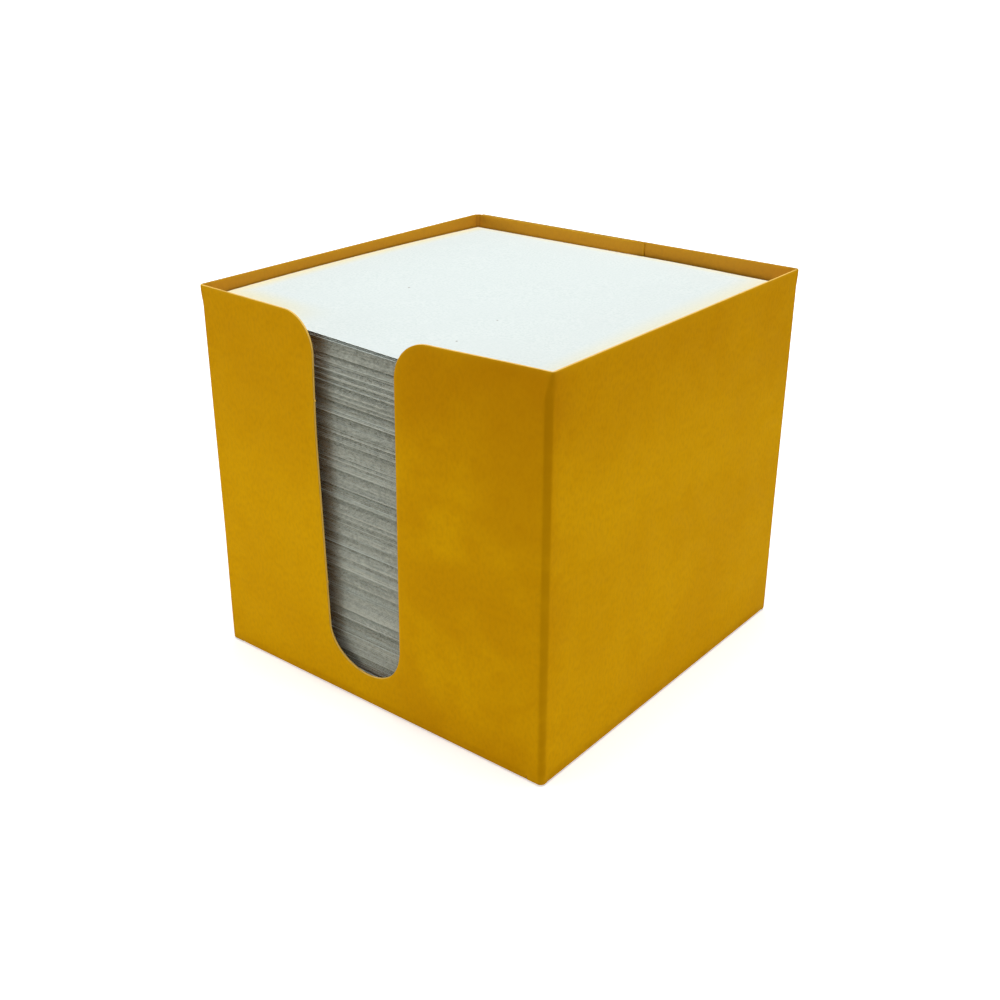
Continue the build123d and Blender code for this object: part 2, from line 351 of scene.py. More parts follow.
def blank_mesh():
    """The flat blank: points, triangles, which points are its edge, that edge, and its way outwards."""
    columns, rows = blank_columns(), blank_rows()
    edge = divided(rounded(blank_corners()), columns, rows)
    along = np.roll(edge, -1, axis=0) - np.roll(edge, 1, axis=0)
    along /= np.linalg.norm(along, axis=1)[:, None]
    outward = np.stack([-along[:, 1], along[:, 0]], axis=1)

    lattice = np.array([(u, v) for u in columns for v in rows])
    lattice = lattice[inside(lattice, edge)]
    away = distance_to(lattice, edge)
    in_folds = near_folds(lattice, 0.1 * MM, 3.2 * MM)
    parts = [edge, lattice[away > EDGE_BAND], lattice[(away > EDGE_GAP) & (away <= EDGE_BAND) & in_folds]]
    for inset in EDGE_RINGS:
        ring = edge - outward * inset
        ring = ring[inside(ring, edge)]
        clear = distance_to(ring, edge) > 0.9 * inset
        parts.append(ring[clear & ~near_folds(ring, 0.3 * MM, 3.5 * MM)])

    # In millimetres, because the triangulation's tolerance is an absolute one.
    flat_mm = [Vector((u / MM, v / MM)) for u, v in np.concatenate(parts)]
    made = geometry.delaunay_2d_cdt(flat_mm, [], [list(range(len(edge)))], 1, 1e-5)
    flat = np.array([(p.x * MM, p.y * MM) for p in made[0]])
    position = {sources[0]: index for index, sources in enumerate(made[3])}
    rim = np.array([position[index] for index in range(len(edge))])
    return flat, np.array(made[2]), rim, edge, outward


def board_normals(points, in_flap):
    """Which way the outer face looks, at points of the flat blank once it is folded up."""
    nudge = 0.01 * MM
    u, v = points.T
    along_u = fold_up(u + nudge, v, in_flap) - fold_up(u - nudge, v, in_flap)
    along_v = fold_up(u, v + nudge, in_flap) - fold_up(u, v - nudge, in_flap)
    normal = np.cross(along_u, along_v)
    return normal / np.linalg.norm(normal, axis=1)[:, None]


def store(mesh, label, values, kind="FLOAT", domain="POINT"):
    """Give a mesh a named attribute, from one value for each point or face."""
    layer = mesh.attributes.new(label, kind, domain)
    numbers = np.asarray(values, np.int32 if kind == "INT" else np.float32)
    layer.data.foreach_set("vector" if kind == "FLOAT_VECTOR" else "value", numbers.ravel())


def mesh_piece(name, points, faces, attributes=()):
    """A smooth-shaded mesh object, sharp where its faces meet at a cut, with attributes on its points."""
    mesh = bpy.data.meshes.new(name)
    mesh.from_pydata([tuple(p) for p in points], [], [tuple(f) for f in faces])
    for label, values in dict(attributes).items():
        store(mesh, label, values, "FLOAT_VECTOR" if np.ndim(values) == 2 else "FLOAT")
    mesh.shade_smooth()
    mesh.set_sharp_from_angle(angle=math.radians(32))
    piece = bpy.data.objects.new(name, mesh)
    bpy.context.scene.collection.objects.link(piece)
    return piece


def fold_the_board():
    """The folded box as one closed skin: both faces of the board and its rounded cut edges."""
    flat, triangles, rim, edge, outward = blank_mesh()
    size, count = len(flat), len(rim)
    in_flap = np.zeros(size, bool)
    for run in RUNS[1:]:
        flap = run["flap"]
        sideways = np.abs(flat[:, 0] - run["u"] - flap["middle"])
        in_flap |= (sideways < flap["half"] - FLAP_SLIT / 2) & (flat[:, 1] < FOLD_HEIGHT)
    from_edge = distance_to(flat, edge)

    face_flat = flat.copy()
    face_flat[rim] -= outward * CUT_ROUNDING
    crushed = CUT_CRUSH * np.exp(-from_edge / CRUSH_REACH)
    pressed = LAP_PRESSED * (1 - eased(face_flat[:, 0] / LAP_SLOPE))
    skin, normal = fold_up(*face_flat.T, in_flap), board_normals(face_flat, in_flap)
    outer = skin + normal * (BOARD / 2 - crushed)[:, None]
    inner = skin - normal * (BOARD / 2 - crushed * 0.5 - pressed)[:, None]
    cut, normal = fold_up(*flat[rim].T, in_flap[rim]), board_normals(flat[rim], in_flap[rim])
    half = BOARD / 2 - CUT_CRUSH - CUT_ROUNDING
    cut_outer = cut + normal * half
    cut_inner = cut - normal * (half - pressed[rim])[:, None]
    points = np.concatenate([outer, inner, cut_outer, cut_inner])
    points[:, 2] = np.clip(points[:, 2], 0, HEIGHT)

    faces = [tuple(t) for t in triangles] + [tuple(size + t[::-1]) for t in triangles]
    loops = [rim, 2 * size + np.arange(count), 2 * size + count + np.arange(count), size + rim]
    for near, far in zip(loops[:-1], loops[1:]):
        for i in range(count):
            j = (i + 1) % count
            faces.append((near[j], far[j], far[i], near[i]))

    # For the material: how much a point belongs to a fold, to a rubbed edge, and to a bright cut.
    crossing = flat[:, :1] - FOLD_STARTS - CREASE / 2
    upright_fold = np.exp(-((np.abs(crossing).min(axis=1) / (CREASE * 0.50)) ** 6))
    base_fold = np.exp(-(((flat[:, 1] - FOLD_HEIGHT + BASE_CREASE / 2) / (BASE_CREASE * 0.7)) ** 4))
    fold = np.maximum(upright_fold, base_fold * 0.8)
    rub = np.exp(-from_edge / (0.55 * MM))
    edge_u = flat[rim, 0]
    in_front = (edge_u > FRONT_RUN["u"] - CREASE / 2) & (edge_u < RUNS[3]["u"] + RUNS[3]["length"])
    bright = np.where(in_front, 1.0, SOILED_CUT)
    bright[edge_u < LAP_SLOPE] = 0.0
    strip = np.concatenate([flat, np.zeros((size, 1))], axis=1)
    return mesh_piece("carton_board", points, faces, {
        "blank": np.concatenate([strip, strip + (0, 0, INNER_MARK), strip[rim], strip[rim]]),
        "fold": np.concatenate([fold, fold, fold[rim], fold[rim]]),
        "rub": np.concatenate([rub, rub, rub[rim], rub[rim]]),
        "cut": np.concatenate([np.zeros(2 * size), bright, bright]),
    })


def add_node(tree, kind, inputs=(), **settings):
    """Add a node to a tree; an input is given a value, or an output to link from."""
    node = tree.nodes.new(kind)
    for name, value in settings.items():
        setattr(node, name, value)
    for socket, value in dict(inputs).items():
        if isinstance(value, bpy.types.NodeSocket):
            tree.links.new(value, node.inputs[socket])
        else:
            node.inputs[socket].default_value = value
    return node


def new_material(name):
    """An empty node material, with its tree, its shader and its output joined up."""
    material = bpy.data.materials.new(name)
    material.use_nodes = True
    tree = material.node_tree
    shader = next(n for n in tree.nodes if n.type == "BSDF_PRINCIPLED")
    return material, tree, shader


def noise(tree, coordinates, scale, detail=2.0, stretch=(1, 1, 1)):
    """Even noise round a half, on coordinates in metres: scale is its marks per metre."""
    mapped = add_node(tree, "ShaderNodeMapping", {"Vector": coordinates, "Scale": stretch})
    inputs = {"Vector": mapped.outputs["Vector"], "Scale": scale, "Detail": detail, "Roughness": 0.5}
    return add_node(tree, "ShaderNodeTexNoise", inputs).outputs["Fac"]


def ramp(tree, value, low, high, to_low=0.0, to_high=1.0):
    """The value's stretch from low to high, spread from to_low to to_high and held there beyond."""
    inputs = {"Value": value, "From Min": low, "From Max": high, "To Min": to_low, "To Max": to_high}
    return add_node(tree, "ShaderNodeMapRange", inputs, interpolation_type="SMOOTHSTEP").outputs["Result"]


def mixed(tree, amount, first, second, blend="MIX"):
    """Colours mixed by an amount from 0, all first, to 1, all second."""
    inputs = {0: amount, 6: first, 7: second}
    return add_node(tree, "ShaderNodeMix", inputs, data_type="RGBA", blend_type=blend).outputs[2]


def joined(tree, operation, first, second):
    """The result of a sum on two values, such as MULTIPLY or MAXIMUM."""
    return add_node(tree, "ShaderNodeMath", {0: first, 1: second}, operation=operation).outputs[0]


def attribute(tree, name, output="Fac"):
    return add_node(tree, "ShaderNodeAttribute", attribute_name=name).outputs[output]


def bumpy(tree, shader, height, strength, depth):
    """Give the shader a relief: the height's rise from 0 to 1 stands for this depth."""
    bump = add_node(tree, "ShaderNodeBump", {"Strength": strength, "Distance": depth, "Height": height})
    tree.links.new(bump.outputs["Normal"], shader.inputs["Normal"])


def board_material():
    """Coated board dyed through: cloudy ink, fine grain, folds darker with wear and painted shade, and pale
    rubbed cut edges.
    """
    yellow = (0.755, 0.395, 0.0008, 1)
    deep = (0.625, 0.290, 0.0004, 1)
    grain_dark = (0.45, 0.20, 0.002, 1)
    darker_beside_fold = (0.560, 0.245, 0.0004, 1)
    fold_wear_and_shade_colour = (0.555, 0.262, 0.0004, 1)
    shaded_top = (0.860, 0.775, 0.6, 1)
    inner_face = (0.610, 0.262, 0.070, 1)
    rubbed = (0.760, 0.410, 0.010, 1)
    fresh_cut = (0.960, 0.650, 0.160, 1)
    fresh_fibre = (0.90, 0.54, 0.10, 1)
    soiled_cut = (0.480, 0.290, 0.040, 1)
    material, tree, shader = new_material("golden_board")
    place = attribute(tree, "blank", "Vector")
    strip = add_node(tree, "ShaderNodeSeparateXYZ", {0: place}).outputs
    clouds = noise(tree, place, 42, detail=3)
    blotches = noise(tree, place, 210, detail=3)
    grain = noise(tree, place, 1500, detail=3.5, stretch=(1, 0.55, 1))
    fibres = noise(tree, place, 3500, detail=3)

    # The ink is most uneven on the front wall's right half and evener beyond the fold.
    middle = FRONT_RUN["u"] + FRONT_RUN["length"] / 2
    fold = FRONT_RUN["u"] + FRONT_RUN["length"]
    handled = joined(tree, "MULTIPLY", ramp(tree, strip["X"], middle, middle + 20 * MM, 0.35, 1.0),
                     ramp(tree, strip["X"], fold, fold + 12 * MM, 1.0, 0.38))
    cloudy = joined(tree, "MULTIPLY", handled, ramp(tree, clouds, 0.36, 0.66, 0.0, 0.8))
    blotchy = joined(tree, "MULTIPLY", handled, ramp(tree, blotches, 0.45, 0.72, 0.0, 0.36))
    base = mixed(tree, cloudy, yellow, deep)
    base = mixed(tree, blotchy, base, deep)
    base = mixed(tree, ramp(tree, grain, 0.35, 0.75, 0.0, 0.24), base, grain_dark)

    # Darker beside that fold: painted shade in its upper half, and half as much near the foot.
    towards_fold = ramp(tree, strip["X"], middle + 22 * MM, middle + 36 * MM, 0.0, 0.55)
    beside_fold = joined(tree, "MULTIPLY", towards_fold,
                         ramp(tree, strip["X"], fold - 2 * MM, fold + 5 * MM, 1.0, 0.0))
    high_and_low = joined(tree, "MAXIMUM", ramp(tree, strip["Y"], 42 * MM, 56 * MM),
                          ramp(tree, strip["Y"], 18 * MM, 28 * MM, 0.5, 0.0))
    base = mixed(tree, joined(tree, "MULTIPLY", beside_fold, high_and_low), base, darker_beside_fold)

    # The folds are darker: partly a worn crease, partly painted shade where the board turns away from the
    # lamps.
    fold_wear_and_shade = joined(tree, "MULTIPLY", attribute(tree, "fold"), ramp(tree, blotches, 0.3, 0.6, 0.6, 1.0))
    base = mixed(tree, fold_wear_and_shade, base, fold_wear_and_shade_colour)
    base = mixed(tree, ramp(tree, strip["Y"], 45 * MM, HEIGHT, 0.0, 0.72), base, shaded_top, "MULTIPLY")
    base = mixed(tree, ramp(tree, strip["Z"], 0.05, 0.15, 0.0, 0.33), base, inner_face)
    rub = joined(tree, "MULTIPLY", attribute(tree, "rub"), ramp(tree, grain, 0.3, 0.6, 0.15, 0.4))
    base = mixed(tree, rub, base, rubbed)
    cut = attribute(tree, "cut")
    base = mixed(tree, ramp(tree, cut, 0.0, SOILED_CUT), base, soiled_cut)
    base = mixed(tree, ramp(tree, cut, SOILED_CUT, 1.0), base, mixed(tree, fibres, fresh_cut, fresh_fibre))
    tree.links.new(base, shader.inputs["Base Color"])
    tree.links.new(ramp(tree, blotches, 0.3, 0.7, 0.55, 0.68), shader.inputs["Roughness"])
    shader.inputs["Specular IOR Level"].default_value = 0.01
    bumpy(tree, shader, joined(tree, "ADD", grain, clouds), 0.35, 0.03 * MM)
    return material


carton_board = fold_the_board()
carton_board.data.materials.append(board_material())
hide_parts("folded_carton")
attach(carton_board, "carton")

# ------------------------------------------------------
# The glue. Strips of dispersion glue, pressed thin between the glue flap and the back wall and
# between the bottom flaps; they dry to a cloudy, slightly rubbery film.
# ------------------------------------------------------


def glue_material():
    """Dried white glue: milky, a little yellow where it is thick, with a skin that shines unevenly."""
    material, tree, shader = new_material("dried_glue")
    place = add_node(tree, "ShaderNodeTexCoord").outputs["Object"]
    milky, thick = (0.80, 0.76, 0.64, 1), (0.66, 0.58, 0.40, 1)
    streaks = noise(tree, place, 420, detail=3, stretch=(1, 1, 0.3))
    tree.links.new(mixed(tree, streaks, milky, thick), shader.inputs["Base Color"])
    tree.links.new(ramp(tree, streaks, 0.3, 0.7, 0.25, 0.55), shader.inputs["Roughness"])
    bumpy(tree, shader, streaks, 0.4, 0.04 * MM)
    return material


dried_glue = glue_material()
for node_name in ("seam_glue", "bottom_glue"):
    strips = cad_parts[node_name]
    strips.data.materials.clear()
    strips.data.materials.append(dried_glue)

# ------------------------------------------------------
# The packets of note paper. Some 800 cut sheets of uncoated white paper lie in packets as they
# were jogged into the box. Each sheet is a separate thin slab; the cut edges are painted grey, as
# shade for the light lost between them.
# ------------------------------------------------------
SHEET = 0.1 * MM
SHEET_BODY = 0.93                    # share of that which is paper; the rest is air between sheets
SHEET_STRAY = 0.045 * MM             # how far any sheet lies out of its packet
STRAGGLER_STRAY = 0.10 * MM          # and how much further the odd one does
STRAGGLER_SHARE = 0.05
SHEET_TURN = math.radians(0.045)
SHEET_TONE = 0.22                    # how much single sheets differ in tone, of the whole range, and how much lighter the odd one is that lies out further, a painted highlight
STRAGGLER_HIGHLIGHT = 0.35                # and how much lighter the odd one is that lies out further
PAPER_SEED = 11
PACKET_LEAN = 0.16 * MM              # how much further back a packet's top lies than its foot
PACKET_TONES = (0.60, 0.82)          # of its edges at the foot: 0 is dark, 1 is light
PACKET_PAINTED_SHADE = (0.26, 0.64)           # how much darker they are at the top, as painted shade under the packet above, low and high in the box, and how late they get so
FADE_POWER = 1.3                     # and how late they get so
TOP_PACKET_PAINTED_SHADE = 0.16               # the packet on top, which nothing presses, gets little of that painted shade and stays light
FOOT_SHEETS = 2                      # the lowest sheets of a packet catch the light,
FOOT_TONE = 0.55                     # and are lighter by up to this
SHIFT_KEPT = 0.5                     # how much is kept of its shift along the box in the frame
# The filling lies lower at the front than at the back. In mm above or below level, at the middle of
# the edge, and how much lower per mm to the right; the slope eases off behind the right front corner.
FRONT_LIFT = -1.16
FRONT_SLOPE = 0.0415
SLOPE_REACH = 25
BACK_LIFT = 0.34
BACK_DROP = 0.40                     # the back edge drops by this much behind the right back corner,
DROP_START = 10                      # from here
DROP_WIDTH = 35                      # and over this width
MIDDLE_LIFT = 0.55                   # how far the middle swells

# Painted shade on the cut edges, brown as if lit by light off the yellow board, in the gap behind the slot's
# left edge and round its foot. Each line says from where to where a strength changes, and from what to what;
# 0 to 1 where it does not.
GAP_SHADE_BEHIND_EDGE = (-18.0 * MM, -12.8 * MM, 0.0, 0.72)
GAP_SHADE_IN_SLOT = (-12.2 * MM, -7.2 * MM, 1.0, 0.0)
GAP_SHADE_AT_FOOT = (5.5 * MM, 7.8 * MM)
GAP_SHADE_ABOVE_FOOT = (8.0 * MM, 10.0 * MM, 0.5, 0.0)
GAP_SHADE_HALF_WIDTH = (8.0 * MM, 14.0 * MM, 1.0, 0.0)
GAP_SHADE_DEPTH = (-44.0 * MM, -43.0 * MM, 1.0, 0.0)
FOOT_SHADE = (8.5 * MM, 14.5 * MM, 0.50, 0.0)    # the slot's foot keeps the light off the edges here,
FOOT_SHADE_WIDTH = (10.0 * MM, 22.0 * MM, 1.0, 0.0)

# Warm light off the board on the top sheet's margins, in the same way; there is none behind the slot.
FRONT_MARGIN = (-41.0 * MM, -32.0 * MM, 0.52, 0.0)
SLOT_GAP = (15.0 * MM, 34.0 * MM)
BACK_MARGIN = (41.5 * MM, 45.5 * MM, 0.0, 0.50)
LEFT_MARGIN = (-45.5 * MM, -40.5 * MM, 0.62, 0.0)
RIGHT_MARGIN = (32.0 * MM, 41.5 * MM, 0.0, 0.46)

top_low, top_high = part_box("top_sheet")
packets = [name for name in sorted(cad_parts) if name.startswith("note_packet_")]


def settled(points):
    """Points of the level filling, moved up or down to where the slack in it lets them lie."""
    x = points[:, 0] / MM
    y = points[:, 1] / (top_high.y - top_low.y) * 2
    sideways = np.where(x < 0, x, SLOPE_REACH * np.tanh(x / SLOPE_REACH))
    front = FRONT_LIFT - FRONT_SLOPE * sideways
    back = BACK_LIFT - BACK_DROP * eased((x - DROP_START) / DROP_WIDTH)
    lift = (front * (1 - y) / 2 + back * (1 + y) / 2 + MIDDLE_LIFT * (1 - y * y)) * MM
    moved = points.copy()
    moved[:, 2] += lift * points[:, 2] / top_high.z
    return moved


def packet_tree():
    """Geometry nodes that pile each packet's sheets up from its lowest one, a little out of line."""
    tree = bpy.data.node_groups.new("jogged_sheets", "GeometryNodeTree")
    tree.interface.new_socket("Geometry", in_out="INPUT", socket_type="NodeSocketGeometry")
    for name in ("Sheet Thickness", "Sheet Body", "Stray", "Straggler Stray", "Straggler Share", "Turn",
                 "Sheet Tone", "Lean"):
        tree.interface.new_socket(name, in_out="INPUT", socket_type="NodeSocketFloat")
    tree.interface.new_socket("Seed", in_out="INPUT", socket_type="NodeSocketInt")
    tree.interface.new_socket("Paper", in_out="INPUT", socket_type="NodeSocketMaterial")
    tree.interface.new_socket("Geometry", in_out="OUTPUT", socket_type="NodeSocketGeometry")
    given = add_node(tree, "NodeGroupInput").outputs

    def named(name, kind):
        node = add_node(tree, "GeometryNodeInputNamedAttribute", {"Name": name}, data_type=kind)
        return node.outputs["Attribute"]

    def maths(operation, first, second):
        return joined(tree, operation, first, second)

    def random(low, high, seed_step):
        seed = maths("ADD", given["Seed"], seed_step)
        return add_node(tree, "FunctionNodeRandomValue", {2: low, 3: high, 8: seed}).outputs[1]

    piled = add_node(tree, "GeometryNodeDuplicateElements",
                     {"Geometry": given["Geometry"], "Amount": named("sheets", "INT")}, domain="POINT")
    place_in_pile = maths("ADD", piled.outputs["Duplicate Index"], 0.5)
    height = maths("MULTIPLY", place_in_pile, given["Sheet Thickness"])
    share = maths("DIVIDE", place_in_pile, named("sheets", "INT"))
    straggles = maths("LESS_THAN", random(0.0, 1.0, 1), given["Straggler Share"])
    slack = maths("ADD", given["Stray"], maths("MULTIPLY", straggles, given["Straggler Stray"]))
    shift_x = maths("MULTIPLY", random(-1.0, 1.0, 2), slack)
    shift_y = maths("MULTIPLY", random(-1.0, 1.0, 3), slack)
    shift_y = maths("ADD", shift_y, maths("MULTIPLY", maths("SUBTRACT", share, 0.5), given["Lean"]))
    offset = add_node(tree, "ShaderNodeCombineXYZ", {"X": shift_x, "Y": shift_y, "Z": height}).outputs[0]
    placed = add_node(tree, "GeometryNodeSetPosition",
                      {"Geometry": piled.outputs["Geometry"], "Offset": offset})
    own_tone = maths("MULTIPLY", random(-0.5, 0.5, 4), given["Sheet Tone"])
    shade = maths("ADD", named("packet_tone", "FLOAT"), own_tone)
    # The odd sheet that lies out further gets a painted highlight on its edge.
    shade = maths("ADD", shade, maths("MULTIPLY", straggles, STRAGGLER_HIGHLIGHT))
    # Painted shade: each packet's edges darken towards its top, under the packet above.
    painted_shade = maths("MULTIPLY", maths("POWER", share, FADE_POWER), named("fade", "FLOAT"))
    shade = maths("SUBTRACT", shade, painted_shade)
    at_foot = maths("LESS_THAN", place_in_pile, FOOT_SHEETS)
    shade = maths("ADD", shade, maths("MULTIPLY", at_foot, named("foot", "FLOAT")))
    toned = add_node(tree, "GeometryNodeStoreNamedAttribute",
                     {"Geometry": placed.outputs[0], "Name": "tone", "Value": shade},
                     data_type="FLOAT", domain="POINT")
    sheet = add_node(tree, "GeometryNodeMeshCube",
                     {"Size": (1, 1, 1), "Vertices X": 7, "Vertices Y": 5, "Vertices Z": 2})
    facing = add_node(tree, "GeometryNodeInputNormal").outputs[0]
    upright = add_node(tree, "ShaderNodeSeparateXYZ", {0: facing})
    on_edge = maths("LESS_THAN", maths("ABSOLUTE", upright.outputs["Z"], 0.0), 0.5)
    marked = add_node(tree, "GeometryNodeStoreNamedAttribute",
                      {"Geometry": sheet.outputs["Mesh"], "Name": "cut", "Value": on_edge},
                      data_type="FLOAT", domain="FACE")
    turn = maths("MULTIPLY", random(-1.0, 1.0, 5), given["Turn"])
    turned = add_node(tree, "ShaderNodeCombineXYZ", {"Z": turn}).outputs[0]
    body = maths("MULTIPLY", given["Sheet Thickness"], given["Sheet Body"])
    side = named("side", "FLOAT")
    scale = add_node(tree, "ShaderNodeCombineXYZ", {"X": side, "Y": side, "Z": body}).outputs[0]
    laid = add_node(tree, "GeometryNodeInstanceOnPoints",
                    {"Points": toned.outputs[0], "Instance": marked.outputs[0],
                     "Rotation": turned, "Scale": scale})
    real = add_node(tree, "GeometryNodeRealizeInstances", {"Geometry": laid.outputs[0]})
    finished = add_node(tree, "GeometryNodeSetMaterial",
                        {"Geometry": real.outputs[0], "Material": given["Paper"]})
    add_node(tree, "NodeGroupOutput", {"Geometry": finished.outputs[0]})
    return tree


def paper_material(name, specks=()):
    """Uncoated white paper: faint fibres on its faces; cut edges painted grey in fine level streaks, as shade
    between the sheets.
    """
    white = (0.840, 0.908, 0.888, 1)
    cool = (0.762, 0.842, 0.824, 1)
    cloud = (0.800, 0.872, 0.855, 1)
    margin = (0.980, 0.820, 0.340, 1)
    speck = (0.16, 0.13, 0.10, 1)
    edge_light = (0.515, 0.522, 0.435, 1)
    edge_dark = (0.140, 0.143, 0.108, 1)
    gap_shade_colour = (0.165, 0.082, 0.010, 1)
    material, tree, shader = new_material(name)
    place = add_node(tree, "ShaderNodeTexCoord").outputs["Object"]
    across, along, upwards = add_node(tree, "ShaderNodeSeparateXYZ", {0: place}).outputs
    off_middle = joined(tree, "ABSOLUTE", across, 0.0)
    fibres = noise(tree, place, 1900, detail=3)
    clouds = noise(tree, place, 120, detail=2)
    face = mixed(tree, ramp(tree, fibres, 0.35, 0.7), white, cool)
    face = mixed(tree, ramp(tree, clouds, 0.4, 0.7, 0.0, 0.5), face, cloud)
    if specks:
        near_walls = joined(tree, "MULTIPLY", ramp(tree, along, *FRONT_MARGIN),
                            ramp(tree, off_middle, *SLOT_GAP))
        for side, stretch in ((along, BACK_MARGIN), (across, LEFT_MARGIN), (across, RIGHT_MARGIN)):
            near_walls = joined(tree, "MAXIMUM", near_walls, ramp(tree, side, *stretch))
        face = mixed(tree, near_walls, face, margin)
    for x, y, radius in specks:
        far = add_node(tree, "ShaderNodeVectorMath", {0: place, 1: (x, y, top_high.z)}, operation="SUBTRACT")
        flat = add_node(tree, "ShaderNodeVectorMath", {0: far.outputs[0], 1: (1, 1, 0)}, operation="MULTIPLY")
        away = add_node(tree, "ShaderNodeVectorMath", {0: flat.outputs[0]}, operation="LENGTH")
        face = mixed(tree, ramp(tree, away.outputs["Value"], 0.0, radius, 0.75, 0.0), face, speck)

    # The cut edges: painted grey in level streaks, as shade for the light lost between the sheets.
    bands = noise(tree, place, 900, detail=2.5, stretch=(0.035, 0.035, 1))
    scuffs = noise(tree, place, 2000, detail=3, stretch=(0.6, 0.6, 1))
    streaks = ramp(tree, bands, 0.25, 0.75, -0.10, 0.10)
    tone = joined(tree, "ADD", streaks, ramp(tree, scuffs, 0.25, 0.75, -0.28, 0.28))
    tone = add_node(tree, "ShaderNodeMath", {0: tone, 1: attribute(tree, "tone")}, operation="ADD",
                    use_clamp=True)
    edge = mixed(tree, tone.outputs[0], edge_dark, edge_light)
    shaded = joined(tree, "MULTIPLY", ramp(tree, upwards, *FOOT_SHADE),
                    ramp(tree, off_middle, *FOOT_SHADE_WIDTH))
    edge = mixed(tree, shaded, edge, edge_dark)
    # Painted shade, brown with light off the board, behind the slot's left edge and round its foot.
    gap_shade = joined(tree, "MULTIPLY", ramp(tree, across, *GAP_SHADE_BEHIND_EDGE),
                     ramp(tree, across, *GAP_SHADE_IN_SLOT))
    shade_under_slot = joined(tree, "MULTIPLY", ramp(tree, upwards, *GAP_SHADE_AT_FOOT),
                        ramp(tree, upwards, *GAP_SHADE_ABOVE_FOOT))
    shade_under_slot = joined(tree, "MULTIPLY", shade_under_slot, ramp(tree, off_middle, *GAP_SHADE_HALF_WIDTH))
    gap_shade = joined(tree, "MAXIMUM", gap_shade, shade_under_slot)
    gap_shade = joined(tree, "MULTIPLY", gap_shade, ramp(tree, along, *GAP_SHADE_DEPTH))
    edge = mixed(tree, gap_shade, edge, gap_shade_colour)
    tree.links.new(mixed(tree, attribute(tree, "cut"), face, edge), shader.inputs["Base Color"])
    tree.links.new(ramp(tree, fibres, 0.3, 0.7, 0.80, 0.95), shader.inputs["Roughness"])
    shader.inputs["Specular IOR Level"].default_value = 0.25
    bumpy(tree, shader, fibres, 0.3, 0.02 * MM)
    return material


def pile_the_packets(paper):
    """All packets as one piece, made by the node tree from one point for each packet."""
    middle = (top_low.y + top_high.y) / 2
    starts, counts, sides = [], [], []
    for name in packets:
        low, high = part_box(name)
        starts.append(((low.x + high.x) / 2, middle + SHIFT_KEPT * ((low.y + high.y) / 2 - middle), low.z))
        counts.append(round((high.z - low.z) / SHEET))
        sides.append(high.x - low.x)
    chance = np.random.default_rng(PAPER_SEED)
    tones = chance.uniform(*PACKET_TONES, len(packets))
    feet = chance.uniform(0.0, FOOT_TONE, len(packets))
    painted_shades = np.interp([start[2] for start in starts], (0, top_high.z), PACKET_PAINTED_SHADE)
    painted_shades[-1] = TOP_PACKET_PAINTED_SHADE
    mesh = bpy.data.meshes.new("packet_starts")
    mesh.from_pydata(starts, [], [])
    store(mesh, "sheets", counts, "INT")
    for label, values in (("side", sides), ("packet_tone", tones), ("foot", feet), ("fade", painted_shades)):
        store(mesh, label, values)
    stack = bpy.data.objects.new("paper_packets", mesh)
    bpy.context.scene.collection.objects.link(stack)
    tree = packet_tree()
    modifier = stack.modifiers.new("sheets", "NODES")
    modifier.node_group = tree
    wanted = {
        "Sheet Thickness": SHEET,
        "Sheet Body": SHEET_BODY,
        "Stray": SHEET_STRAY,
        "Straggler Stray": STRAGGLER_STRAY,
        "Straggler Share": STRAGGLER_SHARE,
        "Turn": SHEET_TURN,
        "Sheet Tone": SHEET_TONE,
        "Lean": PACKET_LEAN,
        "Seed": PAPER_SEED,
        "Paper": paper,
    }
    for item in tree.interface.items_tree:
        if item.in_out == "INPUT" and item.name in wanted:
            modifier[item.identifier] = wanted[item.name]
    depsgraph = bpy.context.evaluated_depsgraph_get()
    plain = bpy.data.meshes.new_from_object(stack.evaluated_get(depsgraph))
    stack.modifiers.remove(modifier)
    stack.data = plain
    places = np.zeros(len(plain.vertices) * 3, np.float32)
    plain.vertices.foreach_get("co", places)
    places = settled(places.reshape(-1, 3).astype(float)).astype(np.float32)
    plain.vertices.foreach_set("co", places.ravel())
    plain.update()
    plain.shade_flat()
    return stack


note_paper = paper_material("note_paper")
paper_packets = pile_the_packets(note_paper)
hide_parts(*packets)
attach(paper_packets, "paper_stack")

# ------------------------------------------------------
# The loose sheets. The last few sheets lie singly on the packets, each a little wavy and out of
# line with the one below; the top one shows its whole face, with a few dark specks in the pulp.
# ------------------------------------------------------
WAVE = 0.05 * MM                     # how far one loose sheet lifts off the one below, at most
WAVE_LENGTHS = (19 * MM, 23 * MM)    # across and along the sheet, for one radian of the wave
WAVE_STEP = 1.7                      # radians by which each sheet's waves differ from those below
SHEET_CELLS = 60
SPECKS = (                           # across, along, and radius
    (-18.0 * MM, -11.6 * MM, 0.42 * MM),
    (10.7 * MM, -16.6 * MM, 0.34 * MM),
    (12.3 * MM, -31.2 * MM, 0.38 * MM),
)
LOOSE_SHEETS = (                     # from the lowest up: the tone of its cut edges, painted in shade as on the packets, with the lowest one's light edge a painted highlight, and how grey they are
    ("loose_sheet_1", 1.0, 0.4),
    ("loose_sheet_2", 0.25, 1.0),
    ("loose_sheet_3", 0.05, 1.0),
    ("loose_sheet_4", 0.20, 1.0),
    ("top_sheet", 0.0, 1.0),
)


